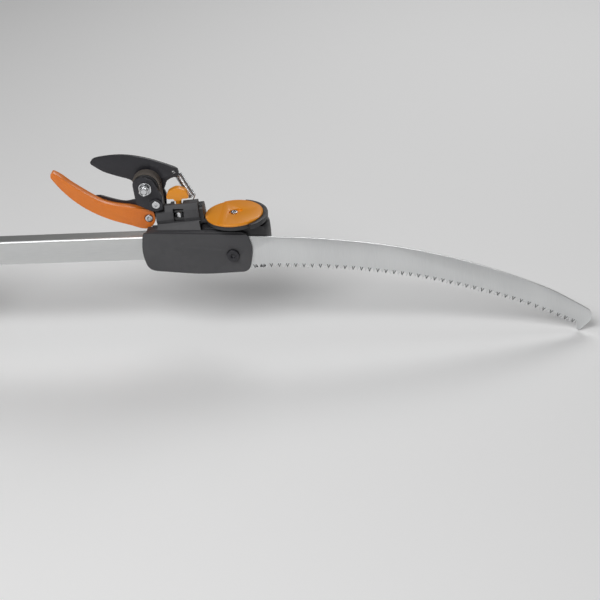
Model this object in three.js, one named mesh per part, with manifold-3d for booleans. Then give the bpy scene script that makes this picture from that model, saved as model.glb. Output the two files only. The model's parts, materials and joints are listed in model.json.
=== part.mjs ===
// Telescoping pole saw with a folded lopper head.
// Millimetres. X runs along the pole, from the butt's end face (X = 0) to the saw. Z is up, and is
// the axis that the lopper head swivels about. Y = 0 and Z = 0 are the pole's centre line.
import * as THREE from 'three';
import { mergeVertices } from 'three/addons/utils/BufferGeometryUtils.js';
import Module from 'manifold-3d';

const wasm = await Module();
wasm.setup();

// ---------------------------------------------------------------- driving dimensions
const GAP = 0.3;                    // clearance between pieces that touch
const SLIDE_GAP = 0.5;              // clearance between pieces that move on each other

// Pole
const LOWER_LENGTH = 1560;          // handle tube
const CAP_WALL = 5;                 // closed end of the butt cap, whose outside is at X = 0
const UPPER_START = 500;            // where the slim tube begins inside the handle tube
const HEAD_X = 1900;                // swivel axis of the head
const UPPER_WIDTH = 16;             // slim tube, across Y
const UPPER_HEIGHT = 27;            // slim tube, across Z
const UPPER_WALL = 1.4;
const UPPER_CORNER = 3;
const TUBE_PLAY = 2;                // space between the two tubes, filled by the bushes
const LOWER_WALL = 1.5;
const SOCKET_DEPTH = 55;            // length of slim tube held in the head
const GRIP_TRAVEL = 240;            // pull of the sliding grip

// Head and its swivel
const CAP_RADIUS = 29;
const CAP_TOP = 33.8;
const CAP_THICK = 2.8;
const HUB_RADIUS = 35.3;
const HUB_TOP = 24;
const HUB_BOTTOM = -22;
const HUB_FLAT_Y = -14.4;           // flat side of the hub, behind the saw blade
const SWIVEL_BORE = 9;
const NECK_Z = 36.5;                // neck centre above the pole's centre line, at X = -30
const NECK_TILT = THREE.MathUtils.degToRad(4);

// Lopper
const PIVOT_X = -84.6;              // blade pivot, from the swivel axis
const PIVOT_Z = 67.4;
const BLADE_THICK = 3;
const BLADE_Y = 8;                  // middle of the lopper blade
const JAW_THICK = 8;
const WHEEL_RADIUS = 12.6;          // strap wheel, to the seat of the strap
const STRAP_THICK = 1.6;
const STRAP_WIDTH = 10;
const PIVOT_BOLT = 6;               // thread diameter of the pivot bolt
const JAW_SCREW = 4;

// Saw
const SAW_THICK = 1.8;
const SAW_Y = -16;                  // middle of the saw blade
const TOOTH_PITCH = 4.1;
const TOOTH_DEPTH = 4.6;
const PANEL_THICK = 2.9;
const SAW_BOLT = 8;

// ---------------------------------------------------------------- sizes that follow
const lowerInner = [UPPER_WIDTH + 2 * TUBE_PLAY, UPPER_HEIGHT + 2 * TUBE_PLAY];
const lowerOuter = [lowerInner[0] + 2 * LOWER_WALL, lowerInner[1] + 2 * LOWER_WALL];
const upperInner = [UPPER_WIDTH - 2 * UPPER_WALL, UPPER_HEIGHT - 2 * UPPER_WALL];
const lowerCorner = UPPER_CORNER + TUBE_PLAY + LOWER_WALL;
const upperEnd = HEAD_X - HUB_RADIUS - 4;
const sawFront = SAW_Y - SAW_THICK / 2;
const sawBack = SAW_Y + SAW_THICK / 2;
const bladeFront = BLADE_Y - BLADE_THICK / 2;
const bladeBack = BLADE_Y + BLADE_THICK / 2;

// ---------------------------------------------------------------- finishes
const finish = (color, roughness, metalness) => () =>
  new THREE.MeshStandardMaterial({ color, roughness, metalness });
const anodised = finish('#d6d8d6', 0.42, 0.85);
const blackPlastic = finish('#2f2f31', 0.5, 0);
const greyPlastic = finish('#454548', 0.5, 0);
const orangePlastic = finish('#f28a12', 0.38, 0);
const orangePaint = finish('#f0821a', 0.35, 0.1);
const coatedSteel = finish('#26252b', 0.4, 0.3);
const satinSteel = finish('#dcdedd', 0.32, 0.9);
const brightZinc = finish('#c9cbcc', 0.22, 1);
const webbing = finish('#5c5048', 0.85, 0);
const foam = finish('#1d1d1e', 0.95, 0);

// ---------------------------------------------------------------- solids
const toSolid = (geometry) => {
  const plain = geometry.clone();
  plain.deleteAttribute('normal');
  plain.deleteAttribute('uv');
  const merged = mergeVertices(plain, 1e-4);
  return new wasm.Manifold(new wasm.Mesh({
    numProp: 3,
    vertProperties: new Float32Array(merged.attributes.position.array),
    triVerts: new Uint32Array(merged.index.array),
  }));
};

const toGeometry = (solid) => {
  const { vertProperties, triVerts } = solid.getMesh();
  const geometry = new THREE.BufferGeometry();
  geometry.setAttribute('position', new THREE.BufferAttribute(new Float32Array(vertProperties), 3));
  geometry.setIndex(new THREE.BufferAttribute(new Uint32Array(triVerts), 1));
  geometry.computeVertexNormals();
  return geometry;
};

// Joins the first list and cuts the second list from it.
const carve = (add, cut = []) => {
  let solid = toSolid(add[0]);
  for (const geometry of add.slice(1)) solid = solid.add(toSolid(geometry));
  for (const geometry of cut) solid = solid.subtract(toSolid(geometry));
  return toGeometry(solid);
};

// Keeps what the solid has in common with the second one.
const clip = (geometry, keep) => toGeometry(toSolid(geometry).intersect(toSolid(keep)));

const box = (x0, x1, y0, y1, z0, z1) => {
  const geometry = new THREE.BoxGeometry(x1 - x0, y1 - y0, z1 - z0);
  return geometry.translate((x0 + x1) / 2, (y0 + y1) / 2, (z0 + z1) / 2);
};

// Round bar along Z or Y.
const barZ = (radius, x, y, z0, z1, sides = 32) => {
  const geometry = new THREE.CylinderGeometry(radius, radius, z1 - z0, sides);
  return geometry.rotateX(Math.PI / 2).translate(x, y, (z0 + z1) / 2);
};
const barY = (radius, x, z, y0, y1, sides = 24) => {
  const geometry = new THREE.CylinderGeometry(radius, radius, y1 - y0, sides);
  return geometry.translate(x, (y0 + y1) / 2, z);
};

// Solid of revolution about Z, from [radius, height] points that close on the axis.
const turned = (points, segments = 64) => {
  const profile = points.map(([r, z]) => new THREE.Vector2(r, z));
  return new THREE.LatheGeometry(profile, segments).rotateX(Math.PI / 2);
};

// Outline with rounded corners, from [a, b, radius] points in order.
const rounded = (points, steps = 5) => {
  const outline = [];
  points.forEach(([x, y, radius = 0], i) => {
    const here = new THREE.Vector2(x, y);
    if (!radius) {
      outline.push(here);
      return;
    }
    const before = points.at(i - 1);
    const after = points[(i + 1) % points.length];
    const back = new THREE.Vector2(before[0], before[1]).sub(here);
    const ahead = new THREE.Vector2(after[0], after[1]).sub(here);
    const half = Math.acos(back.clone().normalize().dot(ahead.clone().normalize())) / 2;
    const reach = Math.min(radius / Math.tan(half), back.length() * 0.48, ahead.length() * 0.48);
    const start = here.clone().add(back.clone().setLength(reach));
    const end = here.clone().add(ahead.clone().setLength(reach));
    const bend = new THREE.QuadraticBezierCurve(start, here, end);
    outline.push(...bend.getPoints(steps));
  });
  return outline;
};

const clean = (outline) => outline.filter((p, i) => p.distanceTo(outline.at(i - 1)) > 0.01);

// Plate whose outline is drawn in X and Z, between two places on Y, with round holes.
const plateY = (outline, y0, y1, holes = []) => {
  const shape = new THREE.Shape(clean(outline));
  const geometry = new THREE.ExtrudeGeometry(shape, { depth: y1 - y0, bevelEnabled: false });
  geometry.rotateX(Math.PI / 2).translate(0, y1, 0);
  if (!holes.length) return geometry;
  return carve([geometry], holes.map(([x, z, radius]) => barY(radius, x, z, y0 - 1, y1 + 1)));
};

// Bar whose section is drawn in Y and Z, between two places on X.
const barSection = (outline, x0, x1) => {
  const shape = new THREE.Shape(clean(outline));
  const geometry = new THREE.ExtrudeGeometry(shape, { depth: x1 - x0, bevelEnabled: false });
  geometry.rotateX(Math.PI / 2).rotateZ(Math.PI / 2);
  return geometry.translate(x0, 0, 0);
};

// Rounded rectangle as an outline, width by height.
const rectangle = (width, height, corner, steps = 4) => rounded([
  [-width / 2, -height / 2, corner],
  [width / 2, -height / 2, corner],
  [width / 2, height / 2, corner],
  [-width / 2, height / 2, corner],
], steps);

const tubeBar = (size, corner, x0, x1) => barSection(rectangle(size[0], size[1], corner), x0, x1);
const grown = (size, by) => [size[0] + 2 * by, size[1] + 2 * by];

const hexagon = (across, x, z, phase = 0) => {
  const radius = across / Math.sqrt(3);
  return Array.from({ length: 6 }, (_, i) => {
    const angle = phase + (i * Math.PI) / 3;
    return new THREE.Vector2(x + radius * Math.cos(angle), z + radius * Math.sin(angle));
  });
};

// Moves a geometry with the neck's tilt, about the neck's root beside the hub.
const tilt = (geometry) => geometry
  .translate(30, 0, -NECK_Z)
  .rotateY(-NECK_TILT)
  .translate(-30, 0, NECK_Z);

const saw = new THREE.Group();
saw.position.x = CAP_WALL + GAP;
const head = new THREE.Group();
head.position.x = HEAD_X;
saw.add(head);

const place = (name, geometry, material, group = saw) => {
  const mesh = new THREE.Mesh(geometry, material());
  mesh.name = name;
  group.add(mesh);
};

// ================================================================ pole
const GRIP_X = 440;                 // centre of the sliding grip at rest
const GRIP_LENGTH = 110;
const SLOT_WIDTH = 6;
const CARRIAGE_LENGTH = 60;
const CAP_LENGTH = 30;
const HAND_GRIP = [900, 1200];      // fixed foam sleeve
const CLAMP_START = LOWER_LENGTH - 45;
const CLAMP_END = LOWER_LENGTH + 28;
const FLANGE = 2;
const CLAMP_WALL = 4;
const LUG_Y = lowerOuter[0] / 2 + GAP + CLAMP_WALL;

const lowerTube = () => carve(
  [tubeBar(lowerOuter, lowerCorner, 0, LOWER_LENGTH)],
  [
    tubeBar(lowerInner, lowerCorner - LOWER_WALL, -1, LOWER_LENGTH + 1),
    box(GRIP_X - GRIP_TRAVEL - CARRIAGE_LENGTH / 2, GRIP_X + CARRIAGE_LENGTH / 2,
      -SLOT_WIDTH / 2, SLOT_WIDTH / 2, -lowerOuter[1], 0),
  ],
);

const buttCap = () => carve([
  tubeBar(grown(lowerOuter, 3), lowerCorner + 3, -CAP_WALL - GAP, CAP_LENGTH),
], [tubeBar(grown(lowerOuter, GAP), lowerCorner + GAP, 0, CAP_LENGTH + 1)]);

const handGrip = () => carve(
  [tubeBar(grown(lowerOuter, 4), lowerCorner + 4, ...HAND_GRIP)],
  [tubeBar(grown(lowerOuter, GAP), lowerCorner + GAP, HAND_GRIP[0] - 1, HAND_GRIP[1] + 1)],
);

const gripCollar = (x0, x1) => tubeBar(grown(lowerOuter, 8), lowerCorner + 8, x0, x1);
const slidingGrip = () => {
  const start = GRIP_X - GRIP_LENGTH / 2;
  const end = GRIP_X + GRIP_LENGTH / 2;
  return carve(
    [
      tubeBar(grown(lowerOuter, 4.5), lowerCorner + 4.5, start, end),
      gripCollar(start, start + 8),
      gripCollar(end - 8, end),
    ],
    [
      tubeBar(grown(lowerOuter, SLIDE_GAP), lowerCorner + SLIDE_GAP, start - 1, end + 1),
    ],
  );
};

// Block inside the handle tube, with a fin through the slot that stops short of the grip.
const carriage = () => carve([
  box(GRIP_X - CARRIAGE_LENGTH / 2 + 1, GRIP_X + CARRIAGE_LENGTH / 2 - 1,
    -lowerInner[0] / 2 + SLIDE_GAP, lowerInner[0] / 2 - SLIDE_GAP, -9, 9),
  box(GRIP_X - 20, GRIP_X + 20, -SLOT_WIDTH / 2 + SLIDE_GAP, SLOT_WIDTH / 2 - SLIDE_GAP,
    -lowerOuter[1] / 2 - 0.2, -8),
]);

const pullStrap = () => box(GRIP_X + CARRIAGE_LENGTH / 2 - 1 + GAP, UPPER_START - 5,
  -STRAP_WIDTH / 2, STRAP_WIDTH / 2, -STRAP_THICK / 2, STRAP_THICK / 2);

const guideBush = () => carve(
  [
    tubeBar(grown(lowerInner, -GAP), lowerCorner - LOWER_WALL - GAP, LOWER_LENGTH - 40, LOWER_LENGTH + 1),
    tubeBar(lowerOuter, lowerCorner, LOWER_LENGTH + GAP, LOWER_LENGTH + GAP + FLANGE),
  ],
  [tubeBar(grown([UPPER_WIDTH, UPPER_HEIGHT], GAP), UPPER_CORNER + GAP, LOWER_LENGTH - 41,
    LOWER_LENGTH + 9)],
);

// Split collar on the mouth of the handle tube, with two lugs for the clamp bolt.
const CLAMP_BOLT_X = LOWER_LENGTH + 15;
const CLAMP_BOLT_Y = LUG_Y + 7;
const LUG_TOP = 9;
const clampBody = () => carve(
  [
    tubeBar(grown(lowerOuter, GAP + CLAMP_WALL), lowerCorner + GAP + CLAMP_WALL, CLAMP_START, CLAMP_END),
    box(CLAMP_BOLT_X - 12, CLAMP_END, lowerOuter[0] / 2, CLAMP_BOLT_Y + 7, -LUG_TOP, LUG_TOP),
  ],
  [
    tubeBar(grown(lowerOuter, GAP), lowerCorner + GAP, CLAMP_START - 1, LOWER_LENGTH + FLANGE + 2 * GAP),
    tubeBar(grown([UPPER_WIDTH, UPPER_HEIGHT], GAP), UPPER_CORNER + GAP, LOWER_LENGTH, CLAMP_END + 1),
    box(LOWER_LENGTH - 6, CLAMP_END + 1, 0, CLAMP_BOLT_Y + 8, -1.2, 1.2),
    barZ(2.5 + GAP, CLAMP_BOLT_X, CLAMP_BOLT_Y, -20, 20, 20),
  ],
);

// The bolt's head is a round eye for the lever pin.
const EYE_Z = LUG_TOP + 9;
const clampBolt = () => carve(
  [
    barZ(2.5, CLAMP_BOLT_X, CLAMP_BOLT_Y, -LUG_TOP - 7, EYE_Z, 20),
    barY(4.5, CLAMP_BOLT_X, EYE_Z, CLAMP_BOLT_Y - 3, CLAMP_BOLT_Y + 3, 20),
  ],
  [barY(1.5 + GAP, CLAMP_BOLT_X, EYE_Z, 0, CLAMP_BOLT_Y + 9, 16)],
);

const clampNut = () => {
  const nut = new THREE.CylinderGeometry(8 / Math.sqrt(3), 8 / Math.sqrt(3), 4, 6);
  nut.rotateX(Math.PI / 2).translate(CLAMP_BOLT_X, CLAMP_BOLT_Y, -LUG_TOP - GAP - 2);
  return carve([nut], [barZ(2.5 + GAP, CLAMP_BOLT_X, CLAMP_BOLT_Y, -30, 0, 20)]);
};

const clampPin = () => barY(1.5, CLAMP_BOLT_X, EYE_Z, CLAMP_BOLT_Y - 6.5, CLAMP_BOLT_Y + 6.5, 16);

const LEVER_LENGTH = 62;
const clampLever = () => {
  const outline = rounded([
    [CLAMP_BOLT_X + 6.4, EYE_Z - 6.4, 5],
    [CLAMP_BOLT_X + 6.4, EYE_Z + 6.4, 5],
    [CLAMP_BOLT_X - LEVER_LENGTH, EYE_Z + 7, 2.5],
    [CLAMP_BOLT_X - LEVER_LENGTH, EYE_Z + 1.5, 2.5],
    [CLAMP_BOLT_X - 12, EYE_Z - 1, 6],
    [CLAMP_BOLT_X - 5, EYE_Z - 6.4, 3],
  ]);
  return carve(
    [plateY(outline, CLAMP_BOLT_Y - 6.5, CLAMP_BOLT_Y + 6.5)],
    [
      box(CLAMP_BOLT_X - 8, CLAMP_BOLT_X + 9, CLAMP_BOLT_Y - 3 - SLIDE_GAP, CLAMP_BOLT_Y + 3 + SLIDE_GAP,
        EYE_Z - 9, EYE_Z + 9),
      barY(1.5 + GAP, CLAMP_BOLT_X, EYE_Z, 0, CLAMP_BOLT_Y + 9, 16),
    ],
  );
};

const upperTube = () => carve(
  [tubeBar([UPPER_WIDTH, UPPER_HEIGHT], UPPER_CORNER, UPPER_START, upperEnd)],
  [tubeBar(upperInner, UPPER_CORNER - UPPER_WALL, UPPER_START - 1, upperEnd + 1)],
);

const slideBush = () => carve(
  [
    tubeBar(grown(upperInner, -GAP), UPPER_CORNER - UPPER_WALL, UPPER_START - 1, UPPER_START + 25),
    tubeBar(grown(lowerInner, -SLIDE_GAP), lowerCorner - LOWER_WALL, UPPER_START - GAP - 14,
      UPPER_START - GAP),
  ],
  [box(UPPER_START - 20, UPPER_START + 30, -STRAP_WIDTH / 2 - 0.6, STRAP_WIDTH / 2 + 0.6, -3, 3)],
);

const poleStrap = () => box(UPPER_START - 4, upperEnd + 5, -STRAP_WIDTH / 2, STRAP_WIDTH / 2,
  -STRAP_THICK / 2, STRAP_THICK / 2);

place('handle_tube', lowerTube(), anodised);
place('butt_cap', buttCap(), blackPlastic);
place('foam_grip', handGrip(), foam);
place('sliding_grip', slidingGrip(), orangePlastic);
place('grip_carriage', carriage(), blackPlastic);
place('carriage_strap', pullStrap(), webbing);
place('guide_bush', guideBush(), blackPlastic);
place('clamp_collar', clampBody(), blackPlastic);
place('clamp_eye_bolt', clampBolt(), brightZinc);
place('clamp_nut', clampNut(), brightZinc);
place('clamp_pin', clampPin(), brightZinc);
place('clamp_lever', clampLever(), orangePlastic);
place('slim_tube', upperTube(), anodised);
place('slide_bush', slideBush(), blackPlastic);
place('pole_strap', poleStrap(), webbing);

// ================================================================ head housing
const SOCKET_TOP = 17.5;
const SOCKET_BACK = 13;
const socketStart = -HUB_RADIUS - 4 - SOCKET_DEPTH + 8;
const RING_BOTTOM = 27;
const RING_TOP = CAP_TOP - CAP_THICK - GAP;
const RIM_START = THREE.MathUtils.degToRad(-55);
const RIM_END = THREE.MathUtils.degToRad(75);
const RIM_TOP = 31.6;
const RIM_RADIUS = 33.6;
const BOSS_RADIUS = SWIVEL_BORE - SLIDE_GAP;
const STEM_RADIUS = 6;
const CAVITY_RADIUS = 29;

// Drum that the swivel turns in, with the socket for the slim tube on its left side.
const hubHousing = () => carve(
  [
    turned([[0, HUB_BOTTOM], [31, HUB_BOTTOM], [34.6, HUB_BOTTOM + 3.5], [HUB_RADIUS, 12],
      [HUB_RADIUS - 0.4, 20], [HUB_RADIUS - 2.6, HUB_TOP], [0, HUB_TOP]]),
    barSection(rounded([[HUB_FLAT_Y + 0.2, -18, 3], [SOCKET_BACK, -18, 5], [SOCKET_BACK, SOCKET_TOP, 5],
      [HUB_FLAT_Y + 0.2, SOCKET_TOP, 3]]), socketStart, -20),
  ],
  [
    box(-60, 60, -60, HUB_FLAT_Y, HUB_BOTTOM - 5, HUB_TOP + 5),
    clip(turned([[0, HUB_BOTTOM + 3], [CAVITY_RADIUS, HUB_BOTTOM + 3], [CAVITY_RADIUS, 12], [0, 12]]),
      box(-60, 60, HUB_FLAT_Y + 3, 60, -60, 60)),
    barZ(SWIVEL_BORE, 0, 0, 0, HUB_TOP + 1, 48),
    box(-60, 60, -60, HUB_FLAT_Y, -60, 60),
    tubeBar(grown([UPPER_WIDTH, UPPER_HEIGHT], GAP), UPPER_CORNER + GAP, socketStart - 1,
      upperEnd - HEAD_X + GAP),
    box(-HUB_RADIUS - 6, -20, -7, 7, -6, 6),
  ],
);

// Turning ring under the orange cap, with its raised rim opposite the neck.
const rimBand = () => {
  const shape = new THREE.Shape();
  shape.absarc(0, 0, RIM_RADIUS, RIM_START, RIM_END, false);
  shape.absarc(0, 0, CAP_RADIUS + GAP, RIM_END, RIM_START, true);
  const geometry = new THREE.ExtrudeGeometry(shape, {
    depth: RIM_TOP - RING_BOTTOM, bevelEnabled: false, curveSegments: 28,
  });
  return geometry.translate(0, 0, RING_BOTTOM);
};

const NECK_HALF = 8.5;
const BRACKET_SEAT = -STRAP_WIDTH / 2 - 1 - SLIDE_GAP + GAP;
const SPRING_POST_RADIUS = 2.5;
const SPRING_POST_X = -41.6;
const SPRING_POST_Z = 39;
const NECK_END = -78;
const neckBar = () => tilt(barSection(rounded([[-NECK_HALF, NECK_Z - 9, 4], [NECK_HALF, NECK_Z - 9, 4],
  [NECK_HALF, NECK_Z + NECK_HALF, 6], [-NECK_HALF, NECK_Z + NECK_HALF, 6]]), NECK_END, -CAP_RADIUS - 2 * GAP));

const STUD_X = -54;
const STUD_Y = -3;
const NUT_BOTTOM = 34.4;
const NUT_HIGH = 5;
const STRAP_FLOOR = 28.9;
const NECK_STRAP_END = -33;
const strapChannel = () => tilt(box(NECK_END - 2, NECK_STRAP_END + 1, -STRAP_WIDTH / 2 - 0.8,
  STRAP_WIDTH / 2 + 0.8, STRAP_FLOOR, STRAP_FLOOR + 5));

// Ring and neck are one casting; the neck carries the lopper.
const neck = () => carve(
  [
    turned([[0, 4], [STEM_RADIUS, 4], [STEM_RADIUS, 10], [BOSS_RADIUS, 10], [BOSS_RADIUS, HUB_TOP + GAP],
      [24, HUB_TOP + GAP], [24, RING_BOTTOM], [CAP_RADIUS - 0.6, RING_BOTTOM],
      [CAP_RADIUS - 0.6, RING_TOP], [0, RING_TOP]]),
    rimBand(),
    box(20, 33, -8, 8, RING_BOTTOM, RING_TOP),
    box(-40, -24, -NECK_HALF, NECK_HALF, RING_BOTTOM + 0.2, RING_TOP),
    neckBar(),
    box(NECK_END - 0.1, NECK_END + 10, -5.4, bladeBack - 0.8, 27, 42.6),
  ],
  [
    strapChannel(),
    tilt(box(NECK_END + 1.5, -65, -STRAP_WIDTH / 2 - 0.8, STRAP_WIDTH / 2 + 0.8, STRAP_FLOOR, 60)),
    box(NECK_END - 1, -64.5, -12, BRACKET_SEAT, 20, 60),
    barY(SPRING_POST_RADIUS + GAP, SPRING_POST_X, SPRING_POST_Z, NECK_HALF - 2, 20, 16),
    box(STUD_X - 6.2, STUD_X + 6.2, -12, 4, NUT_BOTTOM - GAP, NUT_BOTTOM + NUT_HIGH + GAP),
    barZ(3 + GAP, STUD_X, STUD_Y, NUT_BOTTOM, 60, 20),
    barZ(2 + GAP, 0, 0, 20, 40, 20),
    box(NECK_END - 1, NECK_END + 11, bladeFront - 0.6, 20, 25, 55),
  ],
);

const CAP_SCREW_HEAD = 3.6;
const STEP_X = 12.5;
const DISH_DEPTH = 2;
const capDisc = () => {
  const recess = new THREE.Shape();
  recess.absarc(0, 0, 5.6, Math.PI * 0.3, Math.PI * 1.7, false);
  recess.quadraticCurveTo(9, -4, 9.4, 0);
  recess.quadraticCurveTo(9, 4, 5.6 * Math.cos(Math.PI * 0.3), 5.6 * Math.sin(Math.PI * 0.3));
  const dish = new THREE.ExtrudeGeometry(recess, { depth: 5, bevelEnabled: false, curveSegments: 16 });
  return carve(
    [turned([[0, CAP_TOP - CAP_THICK], [CAP_RADIUS - 0.3, CAP_TOP - CAP_THICK],
      [CAP_RADIUS, CAP_TOP - CAP_THICK + 0.5], [CAP_RADIUS, CAP_TOP - 1],
      [CAP_RADIUS - 1.2, CAP_TOP], [0, CAP_TOP]])],
    [
      dish.rotateZ(0.6).translate(0, 0, CAP_TOP - DISH_DEPTH),
      box(-40, -STEP_X, -40, 40, CAP_TOP - 1.2, CAP_TOP + 2),
      barZ(2 + GAP, 0, 0, 20, 40, 20),
    ],
  );
};

const capScrew = () => carve(
  [
    barZ(2, 0, 0, 24, CAP_TOP - 1, 20),
    barZ(CAP_SCREW_HEAD, 0, 0, CAP_TOP - DISH_DEPTH + GAP, CAP_TOP + 0.4, 24),
  ],
  [barZ(1.7, 0, 0, CAP_TOP - 1.2, CAP_TOP + 2, 6)],
);

const retainer = () => carve(
  [barZ(SWIVEL_BORE + 1.8, 0, 0, 4.6, 9.6, 40)],
  [barZ(STEM_RADIUS + GAP, 0, 0, 0, 20, 40)],
);

place('hub_housing', hubHousing(), blackPlastic, head);
place('neck', neck(), blackPlastic, head);
place('cap_disc', capDisc(), orangePlastic, head);
place('cap_screw', capScrew(), brightZinc, head);
place('swivel_retainer', retainer(), satinSteel, head);

// ================================================================ lopper
const wheelFront = -STRAP_WIDTH / 2 - 1;
const wheelBack = bladeFront - GAP;
const bracketBack = wheelFront - SLIDE_GAP;
const BRACKET_THICK = 3;
const bracketFront = bracketBack - BRACKET_THICK;
const farBracketFront = bladeBack + SLIDE_GAP;
const boltHole = PIVOT_BOLT / 2 + GAP;
const BOSS_X = -75.6;               // screw that joins the near bracket to the neck
const BOSS_Z = 49.8;

const spline = (points, count) => new THREE.SplineCurve(
  points.map(([x, z]) => new THREE.Vector2(x, z))).getPoints(count);

// Lopper blade: a broad belly above, a cutting edge below, a heel and a tail for the spring.
const bladeOutline = () => [
  ...spline([[-139.6, 91], [-133.4, 95.3], [-108.6, 97.2], [-83.6, 92.7], [-58.5, 83], [-53, 79.5]], 22),
  ...spline([[-52.2, 76], [-54.5, 71.9], [-59.7, 70.8], [-65.3, 67.2], [-68.2, 60], [-72, 56.5]], 12),
  new THREE.Vector2(-84, 52.5),
  ...spline([[-96.6, 51], [-98, 57], [-98.3, 65.5], [-102, 70.6],
    [-114, 74.9], [-128, 80.6], [-139, 88.6]], 18),
];
const lopperBlade = () => plateY(bladeOutline(), bladeFront, bladeBack,
  [[PIVOT_X, PIVOT_Z, boltHole], [-57.4, 76.2, 1.9]]);

const strapWheel = () => carve(
  [
    barY(WHEEL_RADIUS, PIVOT_X, PIVOT_Z, wheelFront, wheelBack, 48),
  ],
  [barY(boltHole, PIVOT_X, PIVOT_Z, wheelFront - 1, wheelBack + 1)],
);

// Band from its anchor on the wheel, over the top and down into the neck.
const LEAVE = THREE.MathUtils.degToRad(8);
const strapPath = (radius) => {
  const arc = new THREE.Path();
  arc.absarc(PIVOT_X, PIVOT_Z, radius, Math.PI * 0.86, LEAVE, true);
  return arc.getPoints(24);
};
const wrapStrap = () => {
  const inner = strapPath(WHEEL_RADIUS + GAP);
  const outer = strapPath(WHEEL_RADIUS + GAP + STRAP_THICK);
  return plateY([...outer, ...inner.reverse()], -STRAP_WIDTH / 2, STRAP_WIDTH / 2);
};
const neckStrap = () => {
  const start = WHEEL_RADIUS + GAP;
  const drop = (radius) => [PIVOT_X + radius * Math.cos(LEAVE), PIVOT_Z + radius * Math.sin(LEAVE)];
  const [ax, az] = drop(start);
  const [bx, bz] = drop(start + STRAP_THICK);
  const floor = (x, lift) => STRAP_FLOOR + 1.4 + lift + (x + 30) * Math.tan(NECK_TILT);
  const outline = [
    [ax, az - GAP - 0.4], [-71.4, 40, 6], [-69, floor(-69, 0), 6],
    [NECK_STRAP_END, floor(NECK_STRAP_END, 0)], [NECK_STRAP_END, floor(NECK_STRAP_END, STRAP_THICK)],
    [-66.6, floor(-66.6, STRAP_THICK), 5], [-69.6, 41, 6],
    [bx, bz - GAP - 0.4],
  ];
  return plateY(rounded(outline, 4), -STRAP_WIDTH / 2, STRAP_WIDTH / 2);
};

const nearBracket = () => carve(
  [
    plateY(rounded([[-96, 57, 3], [-97, 76, 12], [-86, 80.5, 12], [-75.5, 75, 10], [-68.6, 57, 4],
      [-69, 43, 4], [-80, 42, 3], [-95, 50, 3]]), bracketFront, bracketBack),
    barY(6.4, BOSS_X, BOSS_Z, bracketFront - 2.2, bracketFront + 1),
  ],
  [
    barY(boltHole, PIVOT_X, PIVOT_Z, bracketFront - 1, bracketBack + 1),
    barY(2 + GAP, BOSS_X, BOSS_Z, bracketFront - 5, bracketBack + 1),
    barY(4.4, BOSS_X, BOSS_Z, bracketFront - 5, bracketFront - 0.6),
  ],
);
const bracketScrew = () => carve(
  [
    barY(4, BOSS_X, BOSS_Z, bracketFront - 2, bracketFront - 0.8),
    barY(2, BOSS_X, BOSS_Z, bracketFront - 1, bracketBack - GAP),
  ],
  [barY(1.5, BOSS_X, BOSS_Z, bracketFront - 4, bracketFront - 1.3, 6)],
);

const farBracket = () => plateY(
  rounded([[PIVOT_X - 10, PIVOT_Z + 4, 6], [PIVOT_X - 2, PIVOT_Z + 11, 6], [PIVOT_X + 9, PIVOT_Z + 6, 6],
    [-68, 52, 4], [-70, 32, 4], [-90, 27, 4], [-93, 42, 5]]),
  farBracketFront, farBracketFront + BRACKET_THICK,
  [[PIVOT_X, PIVOT_Z, boltHole], [-86, 32, JAW_SCREW / 2 + GAP]],
);

const pivotBolt = () => carve([
  barY(PIVOT_BOLT / 2, PIVOT_X, PIVOT_Z, bracketFront - 8.4, farBracketFront + BRACKET_THICK + 1),
  plateY(hexagon(10, PIVOT_X, PIVOT_Z), farBracketFront + BRACKET_THICK + GAP,
    farBracketFront + BRACKET_THICK + 4.3),
]);
const pivotWasher = () => plateY(rounded([[-9, -9, 9], [9, -9, 9], [9, 9, 9], [-9, 9, 9]], 8)
  .map((p) => new THREE.Vector2(PIVOT_X + p.x * 0.7, PIVOT_Z + p.y * 0.7)),
bracketFront - GAP - 1.2, bracketFront - GAP, [[PIVOT_X, PIVOT_Z, boltHole]]);
const nutFront = bracketFront - 2 * GAP - 1.2;
const pivotNut = () => carve(
  [
    plateY(hexagon(10, PIVOT_X, PIVOT_Z, 0.35), nutFront - 5, nutFront),
    barY(4.3, PIVOT_X, PIVOT_Z, nutFront - 7, nutFront - 4.9),
  ],
  [barY(boltHole, PIVOT_X, PIVOT_Z, nutFront - 9, nutFront + 1)],
);

// Hook jaw: a curved horn on the left and a round lug for its screw on the right.
const JAW_SCREW_X = -86;
const JAW_SCREW_Z = 32;
const jawOutline = () => [
  ...spline([[-178.8, 83.4], [-176.6, 85.6], [-169, 80.8], [-159.6, 72.2], [-141.3, 58.3], [-129.8, 51.4],
    [-118, 47.6], [-104, 45.2], [-95, 42.8], [-88, 42.4]], 34),
  ...spline([[-80.9, 39.4], [-79.8, 36], [-79.8, 30], [-82.3, 24.9], [-88, 21], [-95, 21.3], [-104.5, 24.9],
    [-124.4, 31.8], [-143.8, 42], [-159.6, 54.6], [-171, 67.8], [-179.2, 80.4]], 40),
];
const hookJaw = () => carve(
  [plateY(jawOutline(), -JAW_THICK / 2, JAW_THICK / 2)],
  [
    barY(JAW_SCREW / 2 + GAP, JAW_SCREW_X, JAW_SCREW_Z, -10, 10),
    barY(4.6, JAW_SCREW_X, JAW_SCREW_Z, -10, -JAW_THICK / 2 + 2.4, 28),
    barY(2.1, -116, 36.5, -JAW_THICK / 2 + 2, 10, 16),
    barY(2.1, -103, 32.5, -JAW_THICK / 2 + 2, 10, 16),
  ],
);
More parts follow.
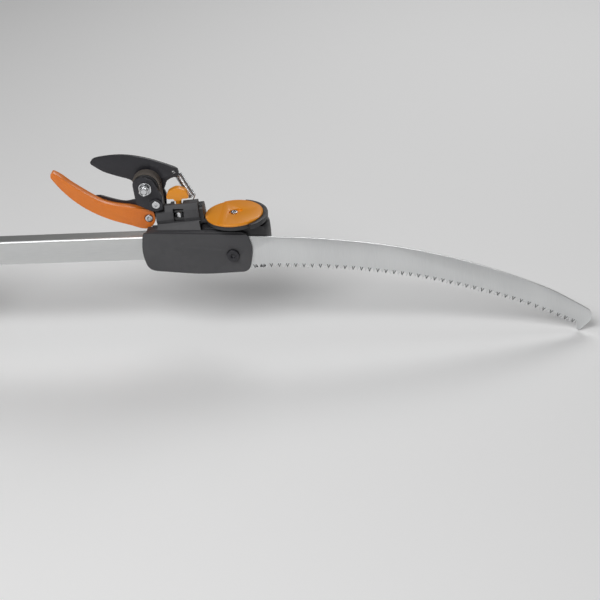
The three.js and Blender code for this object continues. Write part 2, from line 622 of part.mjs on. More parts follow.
const jawScrew = () => carve(
  [
    barY(JAW_SCREW / 2, JAW_SCREW_X, JAW_SCREW_Z, -JAW_THICK / 2 + 1, farBracketFront + BRACKET_THICK + 2),
    barY(3.8, JAW_SCREW_X, JAW_SCREW_Z, -JAW_THICK / 2 - 0.4, -JAW_THICK / 2 + 2, 24),
  ],
  [barY(1.6, JAW_SCREW_X, JAW_SCREW_Z, -10, -JAW_THICK / 2 + 1, 6)],
);

const counterFront = JAW_THICK / 2 + GAP;
const counterBack = bladeFront - GAP;
const counterBlade = () => plateY(
  [
    ...spline([[-143, 55], [-134, 55.6], [-125.7, 52.8], [-115.2, 49.4], [-107.7, 48.2], [-100, 49.6]], 14),
    ...spline([[-94, 47], [-91, 40], [-80.5, 36], [-82, 26], [-92, 24], [-112, 30], [-130, 42], [-142, 53]], 18),
  ],
  counterFront, counterBack,
  [[JAW_SCREW_X, JAW_SCREW_Z, JAW_SCREW / 2 + GAP], [-116, 36.5, 2 + GAP], [-103, 32.5, 2 + GAP]],
);

// Two screws from the back hold the counter blade on the jaw.
const counterScrews = () => [[-116, 36.5], [-103, 32.5]].map(([x, z]) => carve([
  barY(1.8, x, z, -JAW_THICK / 2 + 2.4, counterBack + 1, 16),
  plateY(hexagon(7, x, z), counterBack + GAP, counterBack + 3.6),
]));

// Return spring, as the outside of its coils with a hook at the tail of the blade.
const SPRING_Y = bladeBack + 4.8;
const springTop = new THREE.Vector3(-54.2, SPRING_Y, 70.4);
const springEnd = new THREE.Vector3(-43, SPRING_Y, 46);
const SPRING_RADIUS = 4.2;
const returnSpring = () => {
  const line = springEnd.clone().sub(springTop);
  const body = new THREE.CylinderGeometry(SPRING_RADIUS, SPRING_RADIUS, line.length(), 20);
  body.applyQuaternion(new THREE.Quaternion().setFromUnitVectors(
    new THREE.Vector3(0, 1, 0), line.clone().normalize()));
  const middle = springTop.clone().add(springEnd).multiplyScalar(0.5);
  return body.translate(middle.x, middle.y, middle.z);
};
const springPost = () => barY(SPRING_POST_RADIUS, SPRING_POST_X, SPRING_POST_Z, NECK_HALF - 1.7,
  bladeBack + 6, 16);

const nutCollar = () => {
  const nut = new THREE.CylinderGeometry(10 / Math.sqrt(3), 10 / Math.sqrt(3), NUT_HIGH, 6);
  nut.rotateX(Math.PI / 2).rotateZ(0.2).translate(STUD_X, STUD_Y - 1, NUT_BOTTOM + NUT_HIGH / 2);
  return carve([nut], [barZ(3 + GAP, STUD_X, STUD_Y, 0, 80, 20)]);
};

// Half-moon thumb knob with its screw.
const LIP_TOP = 50.6;
const KNOB_Z = LIP_TOP + 1.2;
const KNOB_HALF = 11.9;
const clampKnob = () => carve([
  plateY(rounded([[STUD_X - 3.4, KNOB_Z - 0.6], [STUD_X + 3.4, KNOB_Z - 0.6],
    [STUD_X + 4.5, KNOB_Z + 1.5, 1],
    [STUD_X + KNOB_HALF, KNOB_Z + 1.5, 2.5], [STUD_X + 9.5, KNOB_Z + 9.6, 6], [STUD_X, KNOB_Z + 14, 9],
    [STUD_X - 9.5, KNOB_Z + 9.6, 6], [STUD_X - KNOB_HALF, KNOB_Z + 1.5, 2.5],
    [STUD_X - 4.5, KNOB_Z + 1.5, 1]]),
  STUD_Y - 3.6, STUD_Y + 3.6),
  barZ(3, STUD_X, STUD_Y, NUT_BOTTOM + GAP, KNOB_Z, 20),
]);

place('lopper_blade', lopperBlade(), coatedSteel, head);
place('strap_wheel', strapWheel(), blackPlastic, head);
place('wheel_strap', wrapStrap(), webbing, head);
place('neck_strap', neckStrap(), webbing, head);
place('near_bracket', nearBracket(), blackPlastic, head);
place('bracket_screw', bracketScrew(), brightZinc, head);
place('far_bracket', farBracket(), blackPlastic, head);
place('pivot_bolt', pivotBolt(), brightZinc, head);
place('pivot_washer', pivotWasher(), brightZinc, head);
place('pivot_locknut', pivotNut(), brightZinc, head);
place('hook_jaw', hookJaw(), orangePaint, head);
place('jaw_screw', jawScrew(), brightZinc, head);
place('counter_blade', counterBlade(), coatedSteel, head);
counterScrews().forEach((screw, i) => place(`counter_screw_${i + 1}`, screw, brightZinc, head));
place('return_spring', returnSpring(), satinSteel, head);
place('spring_post', springPost(), brightZinc, head);
place('collar_nut', nutCollar(), brightZinc, head);
place('clamp_knob', clampKnob(), orangePlastic, head);

// ================================================================ saw and its holder
const panelFront = sawFront - GAP - PANEL_THICK;
const panelBack = sawFront - GAP;
const SHELF_Z = 21.6;
const SADDLE = [-80, -33.5];
const panelOutline = () => rounded([[-91, 23.2, 3], [-94.4, 2, 60], [-89.6, -18.6, 12], [-35, -25, 200],
  [13, -23.6, 10], [17.8, 0, 60], [13.8, 17.4, 3]], 6);

// Front cheek, shelf and the half-round saddle that reaches over the neck.
const saddle = () => tilt(barSection(rounded([[sawBack + GAP, SHELF_Z - 3], [sawBack + GAP, SHELF_Z + 1],
  [-9.8, 31], [-12.4, 36, 3], [-12.2, 44, 4], [-9, LIP_TOP, 3], [-0.5, LIP_TOP, 1], [-0.5, LIP_TOP - 3.4, 1],
  [-7, 46.6, 3], [-NECK_HALF - 0.6, 43, 3], [-NECK_HALF - 0.6, NECK_Z - 9.8, 2],
  [8.5, NECK_Z - 9.8], [8.5, SHELF_Z - 3]]),
...SADDLE));
const sawHolder = () => carve(
  [
    plateY(panelOutline(), panelFront, panelBack),
    plateY([[-88, 23], [-85, 17], [10, 14], [12, 17.6], [8, 19.6], [-34, 22.4]].map(
      ([x, z]) => new THREE.Vector2(x, z)), panelBack - 1, SOCKET_BACK - 5),
    saddle(),
  ],
  [
    box(-100, 40, sawFront - GAP, sawBack + GAP, -40, 18),
    box(-66, 60, sawFront - GAP, HUB_FLAT_Y + 0.1, -60, 17.6),
    clip(barZ(HUB_RADIUS + 0.8, 0, 0, 0, HUB_TOP + 6, 64), box(-60, 60, HUB_FLAT_Y - GAP, 60, 0, 60)),
    barZ(RIM_RADIUS + 0.4, 0, 0, HUB_TOP + 2, 70, 64),
    box(-100, 40, HUB_FLAT_Y, 20, -60, SOCKET_TOP + GAP),
    box(-90, -67.6, -30, 20, 41, 70),
    box(-100, -79, -JAW_THICK / 2 - 0.6, 20, 18, 60),
    box(-100, -77, -12.6, 20, 23.4, 60),
    box(STUD_X - 4.6, STUD_X + 4.6, -8.2, 10, 44, 70),
    box(STUD_X - 5.4, STUD_X + 5.4, -20, -6, 30.6, 44.6),
    box(-84, -62, -5.6, 10, 46, 60),
    barY(SAW_BOLT / 2 + GAP, -2.5, -4.4, -30, 0),
    barY(6.6, -2.5, -4.4, panelFront - 1, panelFront + 1.3, 32),
  ],
);

// Saw blade: a curved spine, a hooked nose and a row of pull teeth.
const SAW_TANG = -58;
const spineCurve = () => new THREE.SplineCurve([[36.6, 12.8], [93, 7.9], [164, -3.9], [235, -24.2],
  [306, -54.2],
  [350.5, -81.6]].map(([x, z]) => new THREE.Vector2(x, z)));
const toothCurve = () => new THREE.SplineCurve([[18, -22.4], [41, -22.1], [91, -25.2], [140, -31.8],
  [188, -41.2],
  [242, -57.4], [288, -74.5], [338.6, -99.4]].map(([x, z]) => new THREE.Vector2(x, z)));
const teeth = () => {
  const curve = toothCurve();
  const count = Math.floor(curve.getLength() / TOOTH_PITCH);
  const outline = [];
  for (let i = 0; i < count; i += 1) {
    const tip = curve.getPointAt(i / count);
    const along = curve.getTangentAt(i / count);
    const root = tip.clone().add(along.clone().multiplyScalar(TOOTH_PITCH * 0.5));
    root.add(new THREE.Vector2(-along.y, along.x).multiplyScalar(TOOTH_DEPTH));
    outline.push(tip, root);
  }
  return outline;
};
const sawOutline = () => [
  new THREE.Vector2(SAW_TANG, -14),
  new THREE.Vector2(4, -14),
  new THREE.Vector2(12, -20.8),
  ...teeth(),
  ...spline([[338.2, -99.8], [339.6, -105.2], [343.2, -104.4], [349.6, -98.2], [353.6, -93.6], [354.4, -88],
    [352.4, -83.4]], 14),
  ...spineCurve().getPoints(30).reverse(),
  new THREE.Vector2(20, 14),
  new THREE.Vector2(SAW_TANG, 16),
];
const sawBlade = () => plateY(sawOutline(), sawFront, sawBack,
  [[-2.5, -4.4, SAW_BOLT / 2 + GAP], [-48, 2, 3 + GAP]]);
const sawBolt = () => carve(
  [
    barY(SAW_BOLT / 2, -2.5, -4.4, panelFront, HUB_FLAT_Y - 0.1, 28),
    barY(6.2, -2.5, -4.4, panelFront - 2.6, panelFront + 1, 32),
  ],
  [barY(2.6, -2.5, -4.4, panelFront - 4, panelFront - 0.6, 6)],
);
const sawPin = () => barY(3, -48, 2, sawFront - GAP + 0.1, sawBack + GAP - 0.1, 20);

place('saw_holder', sawHolder(), greyPlastic, head);
place('saw_blade', sawBlade(), satinSteel, head);
place('saw_bolt', sawBolt(), coatedSteel, head);
place('saw_pin', sawPin(), brightZinc, head);

export default saw;
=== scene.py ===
# %% [markdown]
# Telescoping pole saw: the looks.
# The imported model gives the frame: every part at its real size and place, in metres.
# This notebook dresses it. It softens moulded edges, winds the spring, paints shade on the ground
# bevels of the saw teeth and gives each finish its own procedural material.

# %% Load the imported model
import json
import math

import bmesh
import bpy
from mathutils import Matrix, Vector


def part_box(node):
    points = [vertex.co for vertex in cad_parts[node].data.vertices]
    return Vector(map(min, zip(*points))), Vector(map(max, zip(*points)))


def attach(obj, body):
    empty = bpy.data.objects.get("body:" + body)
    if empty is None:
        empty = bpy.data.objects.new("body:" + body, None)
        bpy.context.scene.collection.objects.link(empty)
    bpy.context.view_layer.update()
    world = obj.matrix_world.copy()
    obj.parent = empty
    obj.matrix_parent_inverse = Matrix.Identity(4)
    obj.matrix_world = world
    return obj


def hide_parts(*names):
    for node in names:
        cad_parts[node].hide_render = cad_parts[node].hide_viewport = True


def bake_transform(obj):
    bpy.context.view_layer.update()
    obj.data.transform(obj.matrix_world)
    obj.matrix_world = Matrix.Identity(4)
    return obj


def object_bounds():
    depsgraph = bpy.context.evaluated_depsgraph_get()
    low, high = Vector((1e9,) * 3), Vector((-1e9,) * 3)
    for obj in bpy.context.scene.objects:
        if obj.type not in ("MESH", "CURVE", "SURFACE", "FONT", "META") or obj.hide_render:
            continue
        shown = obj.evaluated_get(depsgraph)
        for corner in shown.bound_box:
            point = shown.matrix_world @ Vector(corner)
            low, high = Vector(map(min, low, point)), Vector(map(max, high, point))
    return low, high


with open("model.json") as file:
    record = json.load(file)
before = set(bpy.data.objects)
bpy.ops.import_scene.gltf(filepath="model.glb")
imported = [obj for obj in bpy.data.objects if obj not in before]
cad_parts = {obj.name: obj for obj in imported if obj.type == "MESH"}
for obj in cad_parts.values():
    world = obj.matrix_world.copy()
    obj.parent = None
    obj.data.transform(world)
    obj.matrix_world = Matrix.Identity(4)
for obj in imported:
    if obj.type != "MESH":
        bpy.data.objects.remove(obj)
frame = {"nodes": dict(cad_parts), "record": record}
cad_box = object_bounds()
MM = 0.001

# %% [markdown]
# The head is what this scene is about, so the camera is placed from the orange swivel cap.
# A long lens keeps the pole nearly parallel to itself. The camera leans a little, which
# makes the pole climb to the right.

# %% Camera
cap_low, cap_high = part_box("cap_disc")
CAP_CENTRE = Vector(((cap_low.x + cap_high.x) / 2, (cap_low.y + cap_high.y) / 2, cap_high.z))
VIEW_TURN = math.radians(6.1)
VIEW_LIFT = math.radians(29.3)
VIEW_LEAN = math.radians(4.85)
VIEW_DISTANCE = 1.4
AIM_RIGHT = 0.0659
AIM_DOWN = 0.0882
LENS = 84
SENSOR_WIDTH = 36


def place_camera():
    back = Vector((
        math.sin(VIEW_TURN) * math.cos(VIEW_LIFT),
        -math.cos(VIEW_TURN) * math.cos(VIEW_LIFT),
        math.sin(VIEW_LIFT),
    ))
    level = Vector((math.cos(VIEW_TURN), math.sin(VIEW_TURN), 0))
    upright = back.cross(level)
    right = level * math.cos(VIEW_LEAN) - upright * math.sin(VIEW_LEAN)
    up = level * math.sin(VIEW_LEAN) + upright * math.cos(VIEW_LEAN)
    aim = CAP_CENTRE + right * AIM_RIGHT - up * AIM_DOWN
    data = bpy.data.cameras.new("camera")
    data.lens = LENS
    data.sensor_width = SENSOR_WIDTH
    camera = bpy.data.objects.new("camera", data)
    bpy.context.scene.collection.objects.link(camera)
    turn = Matrix((right, up, back)).transposed().to_4x4()
    camera.matrix_world = Matrix.Translation(aim + back * VIEW_DISTANCE) @ turn
    bpy.context.scene.camera = camera
    return camera


camera = place_camera()
print("camera at", [round(v, 3) for v in camera.location])

# %% [markdown]
# A plain pale floor sits just under the lowest saw tooth. Two wide soft lights and a pale
# sky stand in for a light tent. The sky is brighter in front of the tool than behind it, so
# bare metal and black plastic have both light and shade to mirror.

# %% Floor and light
FLOOR_DROP = 0.002
FLOOR_SIZE = 40
FLOOR_MIDDLE = 1.2
SKY_STRENGTH = 1.5
SKY_BACK_SHARE = 0.6
SKY_FADE = (-0.2, 0.6)


def make_floor():
    height = cad_box[0][2] - FLOOR_DROP
    bpy.ops.mesh.primitive_plane_add(size=FLOOR_SIZE, location=(FLOOR_MIDDLE, 0, height))
    floor = bpy.context.object
    floor.name = "floor"
    paint = bpy.data.materials.new("pale_floor")
    paint.use_nodes = True
    shader = paint.node_tree.nodes["Principled BSDF"]
    shader.inputs["Base Color"].default_value = (0.97, 0.97, 0.97, 1)
    shader.inputs["Roughness"].default_value = 0.9
    floor.data.materials.append(paint)


def soft_light(name, place, power, size, aim):
    data = bpy.data.lights.new(name, "AREA")
    data.energy = power
    data.shape = "RECTANGLE"
    data.size, data.size_y = size
    lamp = bpy.data.objects.new(name, data)
    lamp.location = place
    lamp.rotation_euler = (Vector(aim) - Vector(place)).to_track_quat("-Z", "Y").to_euler()
    bpy.context.scene.collection.objects.link(lamp)


def make_sky(strength):
    world = bpy.data.worlds.new("light_tent")
    world.use_nodes = True
    tree = world.node_tree
    glow = tree.nodes["Background"]
    place = tree.nodes.new("ShaderNodeTexCoord")
    split = tree.nodes.new("ShaderNodeSeparateXYZ")
    tree.links.new(place.outputs["Generated"], split.inputs[0])
    ramp = tree.nodes.new("ShaderNodeMapRange")
    ramp.inputs["From Min"].default_value = SKY_FADE[0]
    ramp.inputs["From Max"].default_value = SKY_FADE[1]
    ramp.inputs["To Min"].default_value = strength
    ramp.inputs["To Max"].default_value = strength * SKY_BACK_SHARE
    tree.links.new(split.outputs["Y"], ramp.inputs["Value"])
    tree.links.new(ramp.outputs["Result"], glow.inputs["Strength"])
    bpy.context.scene.world = world


make_floor()
make_sky(SKY_STRENGTH)
bpy.context.scene.view_settings.view_transform = "Standard"
head = CAP_CENTRE
soft_light("key", head + Vector((-0.5, -1.3, 1.5)), 28, (1.4, 1.0), head)
soft_light("back", head + Vector((0.6, 1.3, 1.2)), 12, (1.6, 0.6), head)
print("floor height", round(cad_box[0][2] - FLOOR_DROP, 4))

# %% [markdown]
# Moulded plastic, foam, paint and brushed metal all vary a little over the surface. One
# shared group makes that variation: broad clouds, a fine grain and a height for bump. The
# stretch input draws the grain out along the pole, which is how brushed metal is made.

# %% Shared effect: surface grain


def new_group(name, inputs, outputs):
    group = bpy.data.node_groups.new(name, "ShaderNodeTree")
    for label, kind, value in inputs:
        socket = group.interface.new_socket(label, in_out="INPUT", socket_type=kind)
        if value is not None:
            socket.default_value = value
    for label, kind in outputs:
        group.interface.new_socket(label, in_out="OUTPUT", socket_type=kind)
    start = group.nodes.new("NodeGroupInput")
    end = group.nodes.new("NodeGroupOutput")
    return group, start, end


def add(tree, kind, **settings):
    node = tree.nodes.new(kind)
    for key, value in settings.items():
        setattr(node, key, value)
    return node


def math_node(tree, operation, a, b):
    node = add(tree, "ShaderNodeMath", operation=operation)
    for socket, value in zip(node.inputs, (a, b)):
        if isinstance(value, (int, float)):
            socket.default_value = value
        else:
            tree.links.new(value, socket)
    return node.outputs[0]


FLOAT, COLOR, VECTOR = "NodeSocketFloat", "NodeSocketColor", "NodeSocketVector"


def make_grain_group():
    group, start, end = new_group(
        "surface_grain",
        [("Color", COLOR, (0.5, 0.5, 0.5, 1)), ("Shade", COLOR, (0.4, 0.4, 0.4, 1)),
         ("Stretch", VECTOR, (1, 1, 1)), ("Grain Size", FLOAT, 900.0), ("Cloud Size", FLOAT, 30.0),
         ("Roughness", FLOAT, 0.5), ("Spread", FLOAT, 0.1)],
        [("Color", COLOR), ("Roughness", FLOAT), ("Height", FLOAT)],
    )
    link = group.links.new
    place = add(group, "ShaderNodeTexCoord")
    scale = add(group, "ShaderNodeVectorMath", operation="MULTIPLY")
    link(place.outputs["Object"], scale.inputs[0])
    link(start.outputs["Stretch"], scale.inputs[1])
    fine = add(group, "ShaderNodeTexNoise")
    fine.inputs["Detail"].default_value = 3
    broad = add(group, "ShaderNodeTexNoise")
    broad.inputs["Detail"].default_value = 4
    for noise, size in ((fine, "Grain Size"), (broad, "Cloud Size")):
        link(scale.outputs[0], noise.inputs["Vector"])
        link(start.outputs[size], noise.inputs["Scale"])
    tint = add(group, "ShaderNodeMix", data_type="RGBA")
    share = math_node(group, "MULTIPLY", broad.outputs["Fac"], fine.outputs["Fac"])
    link(math_node(group, "MULTIPLY", share, 2.2), tint.inputs["Factor"])
    link(start.outputs["Color"], tint.inputs[6])
    link(start.outputs["Shade"], tint.inputs[7])
    link(tint.outputs[2], end.inputs["Color"])
    centred = math_node(group, "SUBTRACT", broad.outputs["Fac"], 0.5)
    swing = math_node(group, "MULTIPLY", centred, start.outputs["Spread"])
    link(math_node(group, "ADD", swing, start.outputs["Roughness"]), end.inputs["Roughness"])
    link(fine.outputs["Fac"], end.inputs["Height"])
    return group


grain_group = make_grain_group()
print("group", grain_group.name, "made")

# %% [markdown]
# This second group makes convex edges lighter. This is partly wear, since handled tools wear first along
# their edges, and partly a painted highlight where light would catch the edges. It finds convex edges
# from the mesh's pointiness and breaks them up with noise, so the lighter edge isn't an even line.

# %% Shared effect: edge wear and painted highlight


def make_wear_and_highlight_group():
    group, start, end = new_group(
        "edge_wear_and_highlight",
        [("Color", COLOR, (0.5, 0.5, 0.5, 1)), ("Wear And Highlight Color", COLOR, (0.8, 0.8, 0.8, 1)),
         ("Amount", FLOAT, 0.5)],
        [("Color", COLOR), ("Mask", FLOAT)],
    )
    link = group.links.new
    shape = add(group, "ShaderNodeNewGeometry")
    sharp = add(group, "ShaderNodeMapRange")
    sharp.inputs["From Min"].default_value = 0.51
    sharp.inputs["From Max"].default_value = 0.6
    link(shape.outputs["Pointiness"], sharp.inputs["Value"])
    place = add(group, "ShaderNodeTexCoord")
    patch = add(group, "ShaderNodeTexNoise")
    patch.inputs["Scale"].default_value = 160
    patch.inputs["Detail"].default_value = 5
    link(place.outputs["Object"], patch.inputs["Vector"])
    spots = math_node(group, "MULTIPLY", sharp.outputs["Result"], patch.outputs["Fac"])
    mask = math_node(group, "MULTIPLY", spots, start.outputs["Amount"])
    # Wear and painted highlight: convex edges are mixed towards the lighter colour.
    mix = add(group, "ShaderNodeMix", data_type="RGBA")
    link(mask, mix.inputs["Factor"])
    link(start.outputs["Color"], mix.inputs[6])
    link(start.outputs["Wear And Highlight Color"], mix.inputs[7])
    link(mix.outputs[2], end.inputs["Color"])
    link(mask, end.inputs["Mask"])
    return group


wear_and_highlight_group = make_wear_and_highlight_group()
print("group", wear_and_highlight_group.name, "made")

# %% [markdown]
# Every finish is the same small recipe: grain, then lighter edges for wear and a painted highlight, then
# one Principled shader. What differs is the colour, how shiny it is, how far the grain is drawn out and
# how deep it is.

# %% Finishes


def rgba(color):
    return (*color, 1)


def make_finish(name, color, shade, roughness, metallic=0.0, stretch=(1, 1, 1), grain=1200, cloud=25,
                spread=0.12, depth=0.15, relief=0.0002, wear_and_highlight_color=(0.8, 0.8, 0.8), wear_and_highlight=0.2, coat=0.0):
    material = bpy.data.materials.new(name)
    material.use_nodes = True
    tree = material.node_tree
    shader = tree.nodes["Principled BSDF"]
    shader.inputs["Metallic"].default_value = metallic
    shader.inputs["Coat Weight"].default_value = coat
    texture = add(tree, "ShaderNodeGroup", node_tree=grain_group)
    for label, value in (("Color", rgba(color)), ("Shade", rgba(shade)), ("Stretch", stretch),
                         ("Grain Size", grain), ("Cloud Size", cloud), ("Roughness", roughness),
                         ("Spread", spread)):
        texture.inputs[label].default_value = value
    # Convex edges get a lighter colour: partly wear, partly a painted highlight.
    edges = add(tree, "ShaderNodeGroup", node_tree=wear_and_highlight_group)
    edges.inputs["Wear And Highlight Color"].default_value = rgba(wear_and_highlight_color)
    edges.inputs["Amount"].default_value = wear_and_highlight
    tree.links.new(texture.outputs["Color"], edges.inputs["Color"])
    tree.links.new(edges.outputs["Color"], shader.inputs["Base Color"])
    tree.links.new(texture.outputs["Roughness"], shader.inputs["Roughness"])
    bump = add(tree, "ShaderNodeBump")
    bump.inputs["Strength"].default_value = depth
    bump.inputs["Distance"].default_value = relief
    tree.links.new(texture.outputs["Height"], bump.inputs["Height"])
    tree.links.new(bump.outputs["Normal"], shader.inputs["Normal"])
    return material


finishes = {
    "satin_aluminium": make_finish(
        "satin_aluminium", (0.74, 0.75, 0.745), (0.66, 0.67, 0.67), 0.42, metallic=0.9,
        stretch=(0.04, 1, 1), grain=1500, cloud=60, depth=0.25, wear_and_highlight_color=(0.9, 0.9, 0.9)),
    "black_plastic": make_finish(
        "black_plastic", (0.022, 0.022, 0.024), (0.034, 0.034, 0.037), 0.46, grain=1800, depth=0.3,
        wear_and_highlight_color=(0.10, 0.10, 0.10)),
    "holder_plastic": make_finish(
        "holder_plastic", (0.050, 0.050, 0.054), (0.070, 0.069, 0.074), 0.6, grain=1600, depth=0.35,
        wear_and_highlight_color=(0.16, 0.16, 0.16)),
    "orange_plastic": make_finish(
        "orange_plastic", (0.90, 0.34, 0.012), (0.82, 0.27, 0.008), 0.36, grain=1400, depth=0.12,
        wear_and_highlight_color=(0.98, 0.55, 0.14), coat=0.15),
    "orange_paint": make_finish(
        "orange_paint", (0.86, 0.22, 0.008), (0.74, 0.16, 0.006), 0.34, grain=700, depth=0.14,
        wear_and_highlight_color=(0.98, 0.62, 0.22), wear_and_highlight=0.5, coat=0.2),
    "coated_steel": make_finish(
        "coated_steel", (0.016, 0.016, 0.020), (0.028, 0.027, 0.033), 0.38, metallic=0.2, grain=900,
        depth=0.2, wear_and_highlight_color=(0.22, 0.22, 0.24), wear_and_highlight=0.35, coat=0.1),
    "saw_steel": make_finish(
        "saw_steel", (0.80, 0.81, 0.81), (0.72, 0.73, 0.735), 0.36, metallic=0.85,
        stretch=(1, 1, 0.05), grain=1300, cloud=30, depth=0.18, wear_and_highlight_color=(0.95, 0.95, 0.95)),
    "zinc": make_finish(
        "zinc", (0.76, 0.77, 0.78), (0.60, 0.61, 0.63), 0.24, metallic=1.0, grain=600, cloud=120,
        depth=0.1, wear_and_highlight_color=(0.9, 0.9, 0.9)),
    "foam": make_finish(
        "foam", (0.012, 0.012, 0.013), (0.028, 0.028, 0.030), 0.92, grain=1000, depth=0.9,
        relief=0.0006, wear_and_highlight=0.0),
}
print("finishes:", ", ".join(finishes))

# %% [markdown]
# The strap is woven webbing. Two crossed sets of bands give the over-and-under of the yarn,
# and the same grain group adds the fuzz.

# %% Woven strap finish


def make_webbing():
    material = make_finish("webbing", (0.115, 0.095, 0.080), (0.07, 0.058, 0.050), 0.85, grain=2500,
                           depth=0.3, wear_and_highlight=0.3, wear_and_highlight_color=(0.42, 0.38, 0.34))
    tree = material.node_tree
    shader = tree.nodes["Principled BSDF"]
    place = add(tree, "ShaderNodeTexCoord")
    heights = []
    for direction in ("Y", "DIAGONAL"):
        band = add(tree, "ShaderNodeTexWave", wave_type="BANDS", bands_direction=direction)
        band.inputs["Scale"].default_value = 260
        tree.links.new(place.outputs["Object"], band.inputs["Vector"])
        heights.append(band.outputs["Fac"])
    weave = add(tree, "ShaderNodeBump")
    weave.inputs["Strength"].default_value = 0.6
    weave.inputs["Distance"].default_value = 0.0004
    tree.links.new(math_node(tree, "MAXIMUM", *heights), weave.inputs["Height"])
    tree.links.new(weave.outputs["Normal"], shader.inputs["Normal"])
    return material


finishes["webbing"] = make_webbing()
slot_of = {row["node"]: row["material_slot"] for row in frame["record"]["subparts"]}
body_of = {node: body for body, nodes in frame["record"]["behaviour"]["bodies"].items() for node in nodes}
for node, part in frame["nodes"].items():
    part.data.materials.clear()
    part.data.materials.append(finishes[slot_of[node]])
print("dressed", len(slot_of), "nodes")

# %% [markdown]
# A moulding or a casting has no razor edges, and light catching the small rounds is most of
# what makes it look real. The CAD solids are sharp, so each visible one is copied, its flat
# faces are merged, and a bevel modifier rounds what is left.

# %% Helper: soften a part's edges


def soften(node, radius, steps=3, limit=32, smooth=38):
    source = frame["nodes"][node]
    mesh = source.data.copy()
    piece = bpy.data.objects.new(node + "_finished", mesh)
    bpy.context.scene.collection.objects.link(piece)
    work = bmesh.new()
    work.from_mesh(mesh)
    bmesh.ops.remove_doubles(work, verts=work.verts, dist=1e-6)
    bmesh.ops.dissolve_limit(work, angle_limit=math.radians(1.2), verts=work.verts, edges=work.edges)
    work.to_mesh(mesh)
    work.free()
    bevel = piece.modifiers.new("rounds", "BEVEL")
    bevel.width = radius * MM
    bevel.segments = steps
    bevel.limit_method = "ANGLE"
    bevel.angle_limit = math.radians(limit)
    bevel.use_clamp_overlap = True
    bevel.harden_normals = False
    apply_modifiers(piece)
    shade(piece, smooth)
    finish_piece(piece, slot_of[node], body_of[node], node)
    return piece


def apply_modifiers(piece):
    view = bpy.context.evaluated_depsgraph_get()
    result = bpy.data.meshes.new_from_object(piece.evaluated_get(view))
    piece.modifiers.clear()
    piece.data = result


def shade(piece, degrees):
    piece.data.shade_smooth()
    piece.data.set_sharp_from_angle(angle=math.radians(degrees))


def finish_piece(piece, slot, body, *nodes):
    piece.data.materials.clear()
    piece.data.materials.append(finishes[slot])
    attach(piece, body)
    if nodes:
        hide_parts(*nodes)


SOFT_EDGES = {
    "saw_holder": 1.3, "hub_housing": 0.8, "neck": 0.7, "cap_disc": 0.45, "hook_jaw": 2.2,
    "near_bracket": 0.7, "far_bracket": 0.6, "counter_blade": 0.25, "lopper_blade": 0.45,
    "clamp_knob": 1.6, "strap_wheel": 0.6, "sliding_grip": 1.6, "butt_cap": 1.6, "foam_grip": 1.8,
    "clamp_collar": 1.0, "clamp_lever": 1.2, "guide_bush": 0.4, "saw_bolt": 0.7, "pivot_locknut": 0.35,
    "collar_nut": 0.35, "pivot_bolt": 0.3, "jaw_screw": 0.4, "cap_screw": 0.3, "bracket_screw": 0.3,
    "counter_screw_1": 0.3, "counter_screw_2": 0.3, "clamp_nut": 0.3, "clamp_eye_bolt": 0.3,
    "pivot_washer": 0.2, "spring_post": 0.3, "clamp_pin": 0.3,
}
softened = {node: soften(node, radius) for node, radius in SOFT_EDGES.items()}
print("softened", len(softened), "parts,", sum(len(p.data.polygons) for p in softened.values()), "faces")

# %% [markdown]
# Extruded tube and flat strap need no bevel, only normals that follow their round corners.
# The CAD mesh itself stays as it is, so smooth shading is set on it directly.

# %% Shade the parts that keep their CAD mesh
KEPT_SMOOTH = ["handle_tube", "slim_tube", "slide_bush", "grip_carriage", "swivel_retainer", "saw_pin",
               "wheel_strap", "neck_strap", "carriage_strap", "pole_strap"]
for node in KEPT_SMOOTH:
    shade(frame["nodes"][node], 38)
print("smoothed", len(KEPT_SMOOTH), "CAD meshes")

# %% [markdown]
# The return spring is an extension spring: close coils with a wire hook at each end. The
# imported model holds only its envelope. Here a wire is wound inside that envelope, from the
# hole in the tail of the lopper blade to the post on the neck. On the tool it stretches between the two
# as the blade closes; the wire here is wound in one pose and does not move.

# %% Return spring
WIRE = 1.3
WIRE_ROUNDNESS = 2
COIL_RADIUS = 4.1
COIL_SPACING = 1.12
STEPS_PER_TURN = 16
END_DEPTH = 4.5 * MM
END_WIDTH = 8.6 * MM
TAIL_HOLE = Vector((-57.4, 8, 76.2)) * MM
spring_low, spring_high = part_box("return_spring")
post_low, post_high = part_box("spring_post")


def spring_ends():
    body = frame["nodes"]["return_spring"].data
    high = max(body.vertices, key=lambda v: v.co.z).co.z
    top = [v.co for v in body.vertices if v.co.z > high - END_DEPTH and v.co.x < spring_low.x + END_WIDTH]
    low, right = spring_low.z + END_DEPTH, spring_high.x - END_WIDTH
    foot = [v.co for v in body.vertices if v.co.z < low and v.co.x > right]
    return sum(top, Vector()) / len(top), sum(foot, Vector()) / len(foot)


def wire_tube(name, points, radius):
    line = bpy.data.curves.new(name, "CURVE")
    line.dimensions = "3D"
    line.bevel_depth = radius
    line.bevel_resolution = WIRE_ROUNDNESS
    line.use_fill_caps = True
    spline = line.splines.new("POLY")
    spline.points.add(len(points) - 1)
    for slot, point in zip(spline.points, points):
        slot.co = (*point, 1)
    holder = bpy.data.objects.new(name + "_line", line)
    bpy.context.scene.collection.objects.link(holder)
    view = bpy.context.evaluated_depsgraph_get()
    mesh = bpy.data.meshes.new_from_object(holder.evaluated_get(view))
    bpy.data.objects.remove(holder)
    piece = bpy.data.objects.new(name, mesh)
    bpy.context.scene.collection.objects.link(piece)
    return piece


